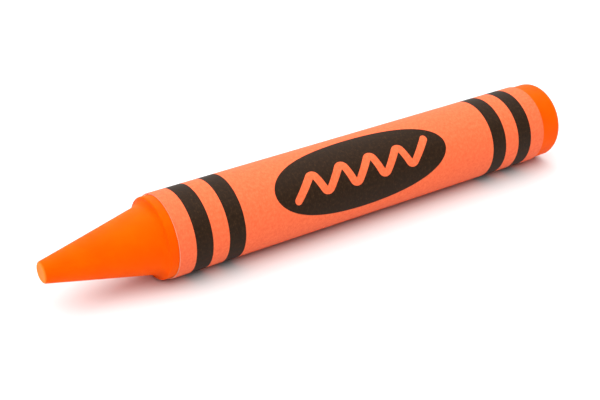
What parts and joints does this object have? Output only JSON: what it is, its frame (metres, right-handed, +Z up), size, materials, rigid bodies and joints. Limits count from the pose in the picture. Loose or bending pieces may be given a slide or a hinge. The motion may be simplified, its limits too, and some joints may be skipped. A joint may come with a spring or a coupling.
{
  "type": "wax crayon",
  "caption": "Jumbo orange wax crayon lying on its side: moulded stick with a blunt conical tip, in a wound paper label with printed dark bands and an oval.",
  "frame": {"origin": "under the middle of the crayon, on the surface it lies on", "axes": "+X along the crayon from tip to butt, +Z up"},
  "size_m": [0.1014, 0.0142, 0.0142],
  "materials": {
    "wax": "satin",
    "label_paper": "matte",
    "paste": "satin",
    "ink": "matte"
  },
  "bodies": {
    "root": {"wax_stick": "wax", "paper_label": "label_paper", "stick_paste": "paste", "lap_paste": "paste", "front_outer_band": "ink", "front_inner_band": "ink", "rear_inner_band": "ink", "rear_outer_band": "ink", "oval_badge": "ink"}
  },
  "joints": []
}
